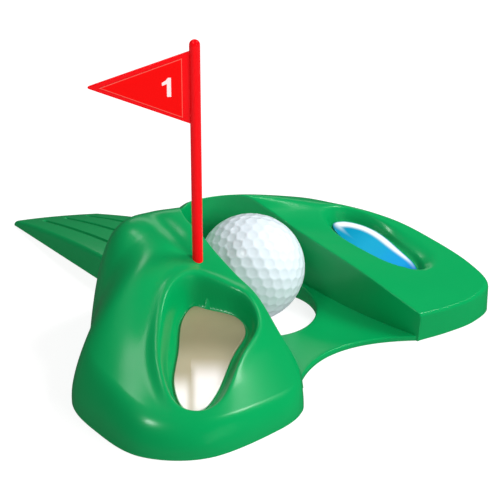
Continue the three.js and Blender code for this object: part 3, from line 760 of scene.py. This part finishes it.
def sand_foil():
    """Champagne foil with painted reflection: darker at its upper end, paler lower down, and pale lobes of
    painted reflection.
    """
    material, shader = new_material("Champagne foil", Metallic=0.3)
    tree = material.node_tree
    # Painted reflection in the tone: it grows paler from the foil's upper end towards its lower end.
    tone = ramp(tree, across(tree, (-42.0, -14.0), (-82.0, -52.0)), [
        (0.0, (0.28, 0.27, 0.15)), (0.3, (0.27, 0.26, 0.15)), (0.55, (0.42, 0.39, 0.26)),
        (1.0, (0.50, 0.46, 0.34))])
    colour = blend_colours(tree, attribute(tree, "painted_reflection"), tone, (0.97, 0.96, 0.92))
    return with_grain(material, shader, colour, 0.34, variation=0.3, scale=5200.0, height=0.00002)


def ball_cover():
    material, shader = new_material("Ball cover", IOR=1.5, Coat_Weight=0.3, Coat_Roughness=0.15)
    colour = (0.56, 0.635, 0.68)
    return with_grain(material, shader, colour, 0.3, variation=0.02, scale=1500.0, height=0.000003)


def label_print():
    """Red print with a paler rim of painted highlight where trim_label() marked it."""
    material, shader = new_material(
        "Printed label", Specular_IOR_Level=0.3, Specular_Tint=(1.0, 0.3, 0.3, 1.0))
    tree = material.node_tree
    # The paler rim is a painted highlight along the label's edge.
    colour = blend_colours(tree, attribute(tree, "rim"), (0.84, 0.0, 0.0), (0.9, 0.16, 0.12))
    return with_grain(material, shader, colour, 0.42, variation=0.05)


def label_ink():
    material, shader = new_material("Pale ink", IOR=1.45)
    return with_grain(material, shader, (0.90, 0.72, 0.72), 0.45, variation=0.03)


def finish_piece(piece, body, material, replaced=()):
    """Gives a piece its material and its body, and hides the CAD nodes that it stands for."""
    piece.data.materials.clear()
    piece.data.materials.append(material)
    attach(piece, body)
    if replaced:
        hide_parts(*replaced)


# ---- operators ----
class PUTTINGCUP_OT_moulding(bpy.types.Operator):
    """Build the green moulding: hills, channel floor with its cup, and tongue"""

    bl_idname = "puttingcup.moulding"
    bl_label = "Green moulding"

    def execute(self, context):
        settings = context.scene.putting_cup
        made = join("green_moulding", [hills(settings), channel_plate(), tongue(settings)])
        finish_piece(made, "moulding", green_plastic(settings), ["green_shell"])
        return {"FINISHED"}


# A foil stays clear of its hollow's wall by a gap, and its edge is rounded and a little flattened.
FOIL_POINTS = 160
FOIL_GAP = 0.4
FOIL_EDGE = 0.35
FOIL_EDGE_DROP = 0.28
FOIL_RINGS = np.linspace(0.97, 0.04, 30)


def foil_plate(name, points, plane):
    """A thin plate with a rounded edge, lying on the floor of a hollow."""
    loop = outline(points, FOIL_POINTS)
    ahead, behind = np.roll(loop, -1, axis=0), np.roll(loop, 1, axis=0)
    tangent = ahead - behind
    tangent /= np.linalg.norm(tangent, axis=1)[:, None]
    area = np.sum(loop[:, 0] * ahead[:, 1] - ahead[:, 0] * loop[:, 1])
    outward = np.column_stack([tangent[:, 1], -tangent[:, 0]]) * np.sign(area)
    middle = loop.mean(axis=0)
    rows = []

    def ring(inset, lift, share=1.0):
        xy = middle + (loop - outward * (FOIL_GAP + inset) - middle) * share
        rows.append(np.column_stack([xy, plane(xy[:, 0], xy[:, 1]) + lift]))

    ring(0.0, -FOIL_HALF)
    for a in np.radians(np.linspace(0.0, 90.0, 5)):
        ring(FOIL_EDGE * (1 - math.cos(a)), FOIL_HALF - FOIL_EDGE_DROP * (1 - math.sin(a)))
    for share in FOIL_RINGS:
        ring(FOIL_EDGE, FOIL_HALF, share)
    return skin(name, np.array(rows))


def paint(piece, name, values):
    """Stores one number for each corner point of a mesh, for a material to read."""
    layer = piece.data.attributes.new(name, "FLOAT", "POINT")
    layer.data.foreach_set("value", np.asarray(values, np.float32))


def plan_of(piece):
    """The x and y of a mesh's points in the design frame."""
    points = (np.array([v.co for v in piece.data.vertices]) - np.array(CUP_AT)) / MM
    return points[:, 0], points[:, 1]


# The pond's painted reflection is a crescent that lies beyond a leaning line, and narrows and fades out
# towards the foil's low end.
CRESCENT_X, CRESCENT_Y, CRESCENT_LEAN = 44.0, -2.0, 0.18
CRESCENT_SIDE_FADE = 5.0
CRESCENT_END_Y = -37.0
CRESCENT_END_FADE = 10.0
CRESCENT_WIDTH = 2.3
CRESCENT_LEAST = 0.5
CRESCENT_GROWTH = 22.0
CRESCENT_EDGE = 2.4


def water_painted_reflection(x, y):
    """The painted reflection: a bright crescent along the far side of the pond's foil."""
    depth = signed_distance(x, y, POND.foil)
    far_side = smooth((x - CRESCENT_X + CRESCENT_LEAN * (y - CRESCENT_Y)) / CRESCENT_SIDE_FADE)
    from_end = y - CRESCENT_END_Y
    width = CRESCENT_WIDTH * smooth(from_end / CRESCENT_GROWTH) + CRESCENT_LEAST
    band = smooth(depth - CRESCENT_LEAST) * (1 - smooth((depth - width) / CRESCENT_EDGE))
    return band * far_side * smooth(from_end / CRESCENT_END_FADE)


# The dimmer streak through the painted reflection: its low end and the way down along it.
STREAK_END = (-82.7, -49.0)
STREAK_WAY = (-0.687, -0.727)
STREAK_WIDTH = 1.5
STREAK_START = -26.0
STREAK_FADE = 8.0
STREAK_DULLS = 0.75
LOBE_STARTS = (-27.0, -20.0)
LOBE_FADE = 13.0
LOBE_HALF = 8.0
LOBE_SIDE_FADE = 5.0
LOBE_SIDE_DULLS = 0.5


def sand_painted_reflection(x, y):
    """Painted reflection: two pale lobes in the lower half of the bunker's foil, with a dimmer streak between
    them.
    """
    (x0, y0), (ux, uy) = STREAK_END, STREAK_WAY
    run = (x - x0) * ux + (y - y0) * uy
    off = (x - x0) * -uy + (y - y0) * ux
    streak = np.exp(-((off / STREAK_WIDTH) ** 2)) * smooth((run - STREAK_START) / STREAK_FADE)
    lobes = smooth((run - np.where(off > 0, *LOBE_STARTS)) / LOBE_FADE)
    sides = smooth((np.abs(off) - LOBE_HALF) / LOBE_SIDE_FADE)
    return lobes * (1 - STREAK_DULLS * streak) * (1 - LOBE_SIDE_DULLS * sides)


class PUTTINGCUP_OT_foils(bpy.types.Operator):
    """Lay the champagne foil in the bunker and the blue foil in the pond"""

    bl_idname = "puttingcup.foils"
    bl_label = "Foil inlays"

    def execute(self, context):
        sand = foil_plate("bunker_foil", BUNKER_FOIL, BUNKER.floor)
        water = foil_plate("pond_foil", POND_FOIL, POND.floor)
        # Both foils carry their painted reflection as a number on each point.
        paint(sand, "painted_reflection", sand_painted_reflection(*plan_of(sand)))
        paint(water, "painted_reflection", water_painted_reflection(*plan_of(water)))
        finish_piece(sand, "moulding", sand_foil(), ["bunker_sand_foil"])
        finish_piece(water, "moulding", water_foil(), ["pond_water_foil"])
        return {"FINISHED"}


# ---- flag ----
POLE_RADIUS = 2.0
POLE_TOP = 124.7
POLE_AXIS = 0.02
POLE_SIDES = 64
POLE_CHAMFER = 0.5
POLE_STRAIGHT_FROM = 4.0
PENNANT_HEIGHT = 28.8
PENNANT_REACH = 38.8
PENNANT_TOP = POLE_TOP - 3.6
PENNANT_MIDDLE = PENNANT_TOP - PENNANT_HEIGHT / 2
PENNANT_THICK = 1.4
PENNANT_EDGE = 0.3
# The pennant's tip is cut off over a short length to a narrow nose.
TIP_LENGTH, TIP_HALF = 0.5, 0.45
FLAG_TURN = math.radians(135.0)
LABEL_NEAR, LABEL_FAR, LABEL_HALF = 4.6, 34.4, 11.2
LABEL_LIFT = 0.06
LABEL_THICK = 0.22
# Width of the painted highlight along the label's edge.
LABEL_EDGE_HIGHLIGHT = 0.32
INK_THICK = 0.03
BEVEL_SEGMENTS = 3
BEVEL_CORNER_DEGREES = 35
# The numeral: its centre as reach from the pole and height over the pennant's middle, half its height, both
# sides of its stem's foot, and the rest of its outline as (sideways, down from its top).
NUMERAL_REACH, NUMERAL_LIFT = 10.0, 0.4
NUMERAL_HALF = 3.6
NUMERAL_FOOT = (-0.1, 1.4)
NUMERAL_HEAD = ((1.4, 0.0), (0.35, 0.0), (-0.55, 1.15), (-1.85, 1.9), (-1.85, 3.1), (-0.1, 2.3))


def flag_points(points):
    """Points as (reach from the pole, across, height) in the part's frame."""
    points = np.asarray(points, float)
    c, s = math.cos(FLAG_TURN), math.sin(FLAG_TURN)
    x = POLE_AT[0] + points[:, 0] * c - points[:, 1] * s
    y = POLE_AT[1] + points[:, 0] * s + points[:, 1] * c
    return to_row(np.column_stack([x, y, points[:, 2]]))


def plate_object(name, corners, low, high, radius=0.0):
    """A flat plate between two offsets across the flag, from corners as (reach, height)."""
    n = len(corners)
    points = [(r, low, z) for r, z in corners] + [(r, high, z) for r, z in corners]
    faces = [tuple(range(n)), tuple(range(2 * n - 1, n - 1, -1))]
    faces += [(i, (i + 1) % n, n + (i + 1) % n, n + i) for i in range(n)]
    made = add_object(name, flag_points(points), faces, smooth_faces=False)
    if radius:
        bm = bmesh.new()
        bm.from_mesh(made.data)
        bmesh.ops.bevel(
            bm, geom=bm.edges[:], offset=radius * MM, segments=BEVEL_SEGMENTS, affect="EDGES", profile=0.5)
        for face in bm.faces:
            face.smooth = True
        bm.to_mesh(made.data)
        bm.free()
        sharpen(made, BEVEL_CORNER_DEGREES)
    return made


class PUTTINGCUP_OT_flagstick(bpy.types.Operator):
    """Build the flagstick: a round pole with a domed top and its pennant"""

    bl_idname = "puttingcup.flagstick"
    bl_label = "Flagstick"

    def execute(self, context):
        settings = context.scene.putting_cup
        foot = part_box("flagstick")[0][2] / MM
        dome = POLE_TOP - POLE_RADIUS
        profile = [(POLE_AXIS, foot), (POLE_RADIUS - POLE_CHAMFER, foot), (POLE_RADIUS, foot + POLE_CHAMFER)]
        profile += [(POLE_RADIUS, z) for z in np.linspace(foot + POLE_STRAIGHT_FROM, dome, 24)]
        for a in np.radians(np.arange(10, 90, 10)):
            profile.append((POLE_RADIUS * math.cos(a), dome + POLE_RADIUS * math.sin(a)))
        profile.append((POLE_AXIS, POLE_TOP))
        turn = np.linspace(0.0, 2 * math.pi, POLE_SIDES + 1)[:-1]
        sections = np.array([
            np.column_stack([radius * np.cos(turn), radius * np.sin(turn), np.full(POLE_SIDES, z)])
            for radius, z in profile])
        points, faces = tube(sections, cap_first=True, cap_last=True)
        pole = sharpen(add_object("pole", flag_points(points), faces))
        corners = [(0.0, PENNANT_TOP), (PENNANT_REACH - TIP_LENGTH, PENNANT_MIDDLE + TIP_HALF),
                   (PENNANT_REACH, PENNANT_MIDDLE), (PENNANT_REACH - TIP_LENGTH, PENNANT_MIDDLE - TIP_HALF),
                   (0.0, PENNANT_TOP - PENNANT_HEIGHT)]
        pennant = plate_object("pennant", corners, -PENNANT_THICK / 2, PENNANT_THICK / 2, PENNANT_EDGE)
        made = join("pin_flag", [pole, pennant])
        finish_piece(made, "flag", red_plastic(settings), ["flagstick"])
        return {"FINISHED"}


def numeral(name, side, low, high):
    """A plain numeral 1 as a flat closed outline, read from the given side."""
    shape = [(x, -NUMERAL_HALF) for x in NUMERAL_FOOT]
    shape += [(x, NUMERAL_HALF - drop) for x, drop in NUMERAL_HEAD]
    corners = [(NUMERAL_REACH - x * side, PENNANT_MIDDLE + NUMERAL_LIFT + z) for x, z in shape]
    return plate_object(name, corners, low, high)


def trim_label(plate):
    """Marks a thin pale rim of painted highlight all round the label's two faces."""
    inner = len(plate.data.vertices)
    bm = bmesh.new()
    bm.from_mesh(plate.data)
    for face in sorted(bm.faces, key=lambda f: -f.calc_area())[:2]:
        bmesh.ops.inset_region(bm, faces=[face], thickness=LABEL_EDGE_HIGHLIGHT * MM, use_even_offset=True)
    bm.to_mesh(plate.data)
    bm.free()
    paint(plate, "rim", np.arange(len(plate.data.vertices)) >= inner)


class PUTTINGCUP_OT_labels(bpy.types.Operator):
    """Stick a printed label with a numeral on both sides of the pennant"""

    bl_idname = "puttingcup.labels"
    bl_label = "Flag labels"

    def execute(self, context):
        ink, sheet = label_ink(), label_print()
        near = PENNANT_THICK / 2 + LABEL_LIFT
        far = near + LABEL_THICK
        corners = [(LABEL_NEAR, PENNANT_MIDDLE + LABEL_HALF), (LABEL_FAR, PENNANT_MIDDLE),
                   (LABEL_NEAR, PENNANT_MIDDLE - LABEL_HALF)]
        for node, side in (("flag_label_front", 1), ("flag_label_back", -1)):
            plate = plate_object(node + "_sheet", corners, *sorted((side * near, side * far)))
            trim_label(plate)
            finish_piece(plate, "flag", sheet, [node])
            ink_faces = sorted((side * far, side * (far + INK_THICK)))
            finish_piece(numeral(node + "_numeral", side, *ink_faces), "flag", ink)
        return {"FINISHED"}


# ---- ball ----
DIMPLE_FREQUENCY = 6
DIMPLE_FULLNESS = 2.4
BALL_SUBDIVISIONS = 7
BALL_TILT = Vector((0.3, 0.2, 1.0))


def geodesic_points(frequency):
    """Evenly spread directions: the corners of an icosahedron whose sides are cut into frequency parts."""
    bm = bmesh.new()
    bmesh.ops.create_icosphere(bm, subdivisions=1, radius=1.0)
    seen = {}
    for face in bm.faces:
        a, b, c = (v.co for v in face.verts)
        for i in range(frequency + 1):
            for j in range(frequency + 1 - i):
                p = (a * i + b * j + c * (frequency - i - j)).normalized()
                seen[tuple(round(v, 4) for v in p)] = p
    bm.free()
    return list(seen.values())


def dimple_tree():
    """Geometry nodes: a ball with a dimple at each point of the given geometry."""
    tree = bpy.data.node_groups.new("Dimpled ball", "GeometryNodeTree")
    face = tree.interface
    face.new_socket("Centres", in_out="INPUT", socket_type="NodeSocketGeometry")
    for label, value in (("Radius", 0.0213), ("Dimple Radius", 0.0019), ("Dimple Depth", 0.0002)):
        face.new_socket(label, in_out="INPUT", socket_type="NodeSocketFloat").default_value = value
    face.new_socket("Middle", in_out="INPUT", socket_type="NodeSocketVector")
    face.new_socket("Material", in_out="INPUT", socket_type="NodeSocketMaterial")
    face.new_socket("Ball", in_out="OUTPUT", socket_type="NodeSocketGeometry")
    given, out = tree.nodes.new("NodeGroupInput").outputs, tree.nodes.new("NodeGroupOutput")
    size = {"Radius": given["Radius"], "Subdivisions": BALL_SUBDIVISIONS}
    ball = add_node(tree, "GeometryNodeMeshIcoSphere", size).outputs["Mesh"]
    near = add_node(tree, "GeometryNodeProximity", {0: given["Centres"]}, target_element="POINTS")
    reach = {"Value": near.outputs["Distance"], "From Max": given["Dimple Radius"]}
    share = add_node(tree, "ShaderNodeMapRange", reach).outputs["Result"]
    climb = add_node(tree, "ShaderNodeMath", {0: share, 1: DIMPLE_FULLNESS}, operation="POWER").outputs[0]
    bowl = add_node(tree, "ShaderNodeMath", {0: 1.0, 1: climb}, operation="SUBTRACT").outputs[0]
    sizes = {0: bowl, 1: given["Dimple Depth"]}
    depth = add_node(tree, "ShaderNodeMath", sizes, operation="MULTIPLY").outputs[0]
    inward = add_node(tree, "ShaderNodeMath", {0: depth, 1: -1.0}, operation="MULTIPLY").outputs[0]
    normal = add_node(tree, "GeometryNodeInputNormal").outputs[0]
    offset = add_node(tree, "ShaderNodeVectorMath", {0: normal, "Scale": inward}, operation="SCALE")
    made = ball
    for kind, inputs in (
        ("GeometryNodeSetPosition", {"Offset": offset.outputs["Vector"]}),
        ("GeometryNodeTransform", {"Translation": given["Middle"]}),
        ("GeometryNodeSetShadeSmooth", {}),
        ("GeometryNodeRealizeInstances", {}),
        ("GeometryNodeSetMaterial", {"Material": given["Material"]}),
    ):
        made = add_node(tree, kind, {"Geometry": made, **inputs}).outputs["Geometry"]
    tree.links.new(made, out.inputs["Ball"])
    return tree


def run_nodes(name, points, tree, values):
    """Puts a geometry node tree on a point mesh, sets its inputs and keeps the result as a plain mesh."""
    mesh = bpy.data.meshes.new(name + "_input")
    mesh.from_pydata([tuple(p) for p in points], [], [])
    source = bpy.data.objects.new(name + "_input", mesh)
    bpy.context.collection.objects.link(source)
    modifier = source.modifiers.new("nodes", "NODES")
    modifier.node_group = tree
    for item in tree.interface.items_tree:
        if item.item_type == "SOCKET" and item.in_out == "INPUT" and item.name in values:
            modifier[item.identifier] = values[item.name]
    ready = source.evaluated_get(bpy.context.evaluated_depsgraph_get())
    result = bpy.data.meshes.new_from_object(ready)
    result.name = name
    bpy.data.objects.remove(source)
    made = bpy.data.objects.new(name, result)
    bpy.context.collection.objects.link(made)
    return made


class PUTTINGCUP_OT_ball(bpy.types.Operator):
    """Build the dimpled golf ball in the cup"""

    bl_idname = "puttingcup.ball"
    bl_label = "Golf ball"

    def execute(self, context):
        settings = context.scene.putting_cup
        radius = (BALL_HIGH.z - BALL_LOW.z) / 2
        tilt = BALL_TILT.to_track_quat("Z", "Y")
        centres = [tilt @ p * radius for p in geodesic_points(DIMPLE_FREQUENCY)]
        material = ball_cover()
        made = run_nodes("dimpled_ball", centres, dimple_tree(), {
            "Radius": radius,
            "Dimple Radius": settings.dimple_radius,
            "Dimple Depth": settings.dimple_depth,
            "Middle": BALL_CENTRE,
            "Material": material,
        })
        finish_piece(made, "ball", material, ["golf_ball"])
        return {"FINISHED"}


# ---- stage ----
CAMERA_OFFSET = Vector((-0.4294, -0.4291, 0.3116))
CAMERA_PITCH = 25.0
CAMERA_AZIMUTH = -45.0
CAMERA_LENS = 122.16
CAMERA_SENSOR = 36.0
CAMERA_CLIP = (0.05, 20.0)
AIM_HEIGHT = 0.02
FLOOR_HALF = 4.0
FLOOR_GREY = 0.25
FLOOR_GLOW = 0.8
WHITE = (1.0, 1.0, 1.0, 1.0)
WORLD_STRENGTH = 0.26
WORLD_REFLECTED = 0.04
# Lights as (name, place from the aim, size, watts, whether reflections show it).
LIGHTS = (
    ("key", (0.72, -0.36, 0.82), (0.4, 0.4), 10.0, False),
    ("front", (0.05, -1.1, 0.45), (0.7, 0.5), 11.0, False),
    ("top", (-0.2, 0.2, 0.9), (0.4, 0.4), 2.2, False),
    ("glint_right", (0.50, -0.28, 0.79), (0.13, 0.13), 1.3, True),
    ("glint_left", (-0.58, -0.06, 0.81), (0.13, 0.13), 1.4, True),
    ("glint_top", (0.06, 0.43, 0.89), (0.12, 0.2), 0.4, True),
    ("back", (0.62, 0.62, 0.45), (0.6, 0.2), 0.35, True),
)


def area_light(name, offset, target, size, power, mirrored):
    """A rectangular light, offset from the target that it faces."""
    data = bpy.data.lights.new(name, "AREA")
    data.shape = "RECTANGLE"
    data.size, data.size_y = size
    data.energy = power
    made = bpy.data.objects.new(name, data)
    made.location = target + Vector(offset)
    made.rotation_mode = "QUATERNION"
    made.rotation_quaternion = (-Vector(offset)).to_track_quat("-Z", "Y")
    made.visible_glossy = mirrored
    bpy.context.collection.objects.link(made)


def studio_world(tree):
    """Even white light from all round, which shows only faintly in reflections."""
    sky = tree.nodes["Background"]
    sky.inputs["Color"].default_value = WHITE
    reflected = add_node(tree, "ShaderNodeLightPath").outputs["Is Glossy Ray"]
    strength = add_node(tree, "ShaderNodeMapRange", {
        "Value": reflected, "To Min": WORLD_STRENGTH, "To Max": WORLD_REFLECTED})
    tree.links.new(strength.outputs["Result"], sky.inputs["Strength"])


class PUTTINGCUP_OT_stage(bpy.types.Operator):
    """Set up the pale floor, the soft studio lights and the camera"""

    bl_idname = "puttingcup.stage"
    bl_label = "Studio"

    def execute(self, context):
        corners = [(x * FLOOR_HALF, y * FLOOR_HALF, 0.0) for x, y in ((-1, -1), (1, -1), (1, 1), (-1, 1))]
        floor = add_object("floor", corners, [(0, 1, 2, 3)], smooth_faces=False)
        paper, shader = new_material("White paper", Emission_Color=WHITE, Emission_Strength=FLOOR_GLOW)
        with_grain(paper, shader, (FLOOR_GREY,) * 3, 0.9, variation=0.01, scale=900.0)
        floor.data.materials.append(paper)
        floor.visible_glossy = False

        world = bpy.data.worlds.new("White studio")
        world.use_nodes = True
        studio_world(world.node_tree)
        context.scene.world = world
        aim = Vector((BALL_CENTRE.x, BALL_CENTRE.y, AIM_HEIGHT))
        for name, offset, size, power, mirrored in LIGHTS:
            area_light(name, offset, aim, size, power, mirrored)

        data = bpy.data.cameras.new("camera")
        data.lens = CAMERA_LENS
        data.sensor_width = CAMERA_SENSOR
        data.clip_start, data.clip_end = CAMERA_CLIP
        camera = bpy.data.objects.new("camera", data)
        camera.location = Vector((BALL_CENTRE.x, BALL_CENTRE.y, 0.0)) + CAMERA_OFFSET
        camera.rotation_euler = (math.radians(90.0 - CAMERA_PITCH), 0.0, math.radians(CAMERA_AZIMUTH))
        bpy.context.collection.objects.link(camera)
        context.scene.camera = camera
        context.scene.view_settings.view_transform = "Standard"
        return {"FINISHED"}


class PUTTINGCUP_PT_panel(bpy.types.Panel):
    """The putting cup's settings and pieces"""

    bl_idname = "PUTTINGCUP_PT_panel"
    bl_label = "Putting cup"
    bl_space_type = "VIEW_3D"
    bl_region_type = "UI"
    bl_category = "Putting cup"

    def draw(self, context):
        settings = context.scene.putting_cup
        for name in PuttingCupSettings.__annotations__:
            self.layout.prop(settings, name)
        for operator in OPERATORS:
            self.layout.operator(operator.bl_idname)


OPERATORS = (
    PUTTINGCUP_OT_stage,
    PUTTINGCUP_OT_moulding,
    PUTTINGCUP_OT_foils,
    PUTTINGCUP_OT_flagstick,
    PUTTINGCUP_OT_labels,
    PUTTINGCUP_OT_ball,
)
CLASSES = (PuttingCupSettings, *OPERATORS, PUTTINGCUP_PT_panel)


def register():
    for cls in CLASSES:
        bpy.utils.register_class(cls)
    bpy.types.Scene.putting_cup = bpy.props.PointerProperty(type=PuttingCupSettings)


def unregister():
    del bpy.types.Scene.putting_cup
    for cls in reversed(CLASSES):
        bpy.utils.unregister_class(cls)


def main():
    register()
    bpy.ops.puttingcup.stage()
    bpy.ops.puttingcup.moulding()
    bpy.ops.puttingcup.foils()
    bpy.ops.puttingcup.flagstick()
    bpy.ops.puttingcup.labels()
    bpy.ops.puttingcup.ball()


if __name__ == "__main__":
    main()
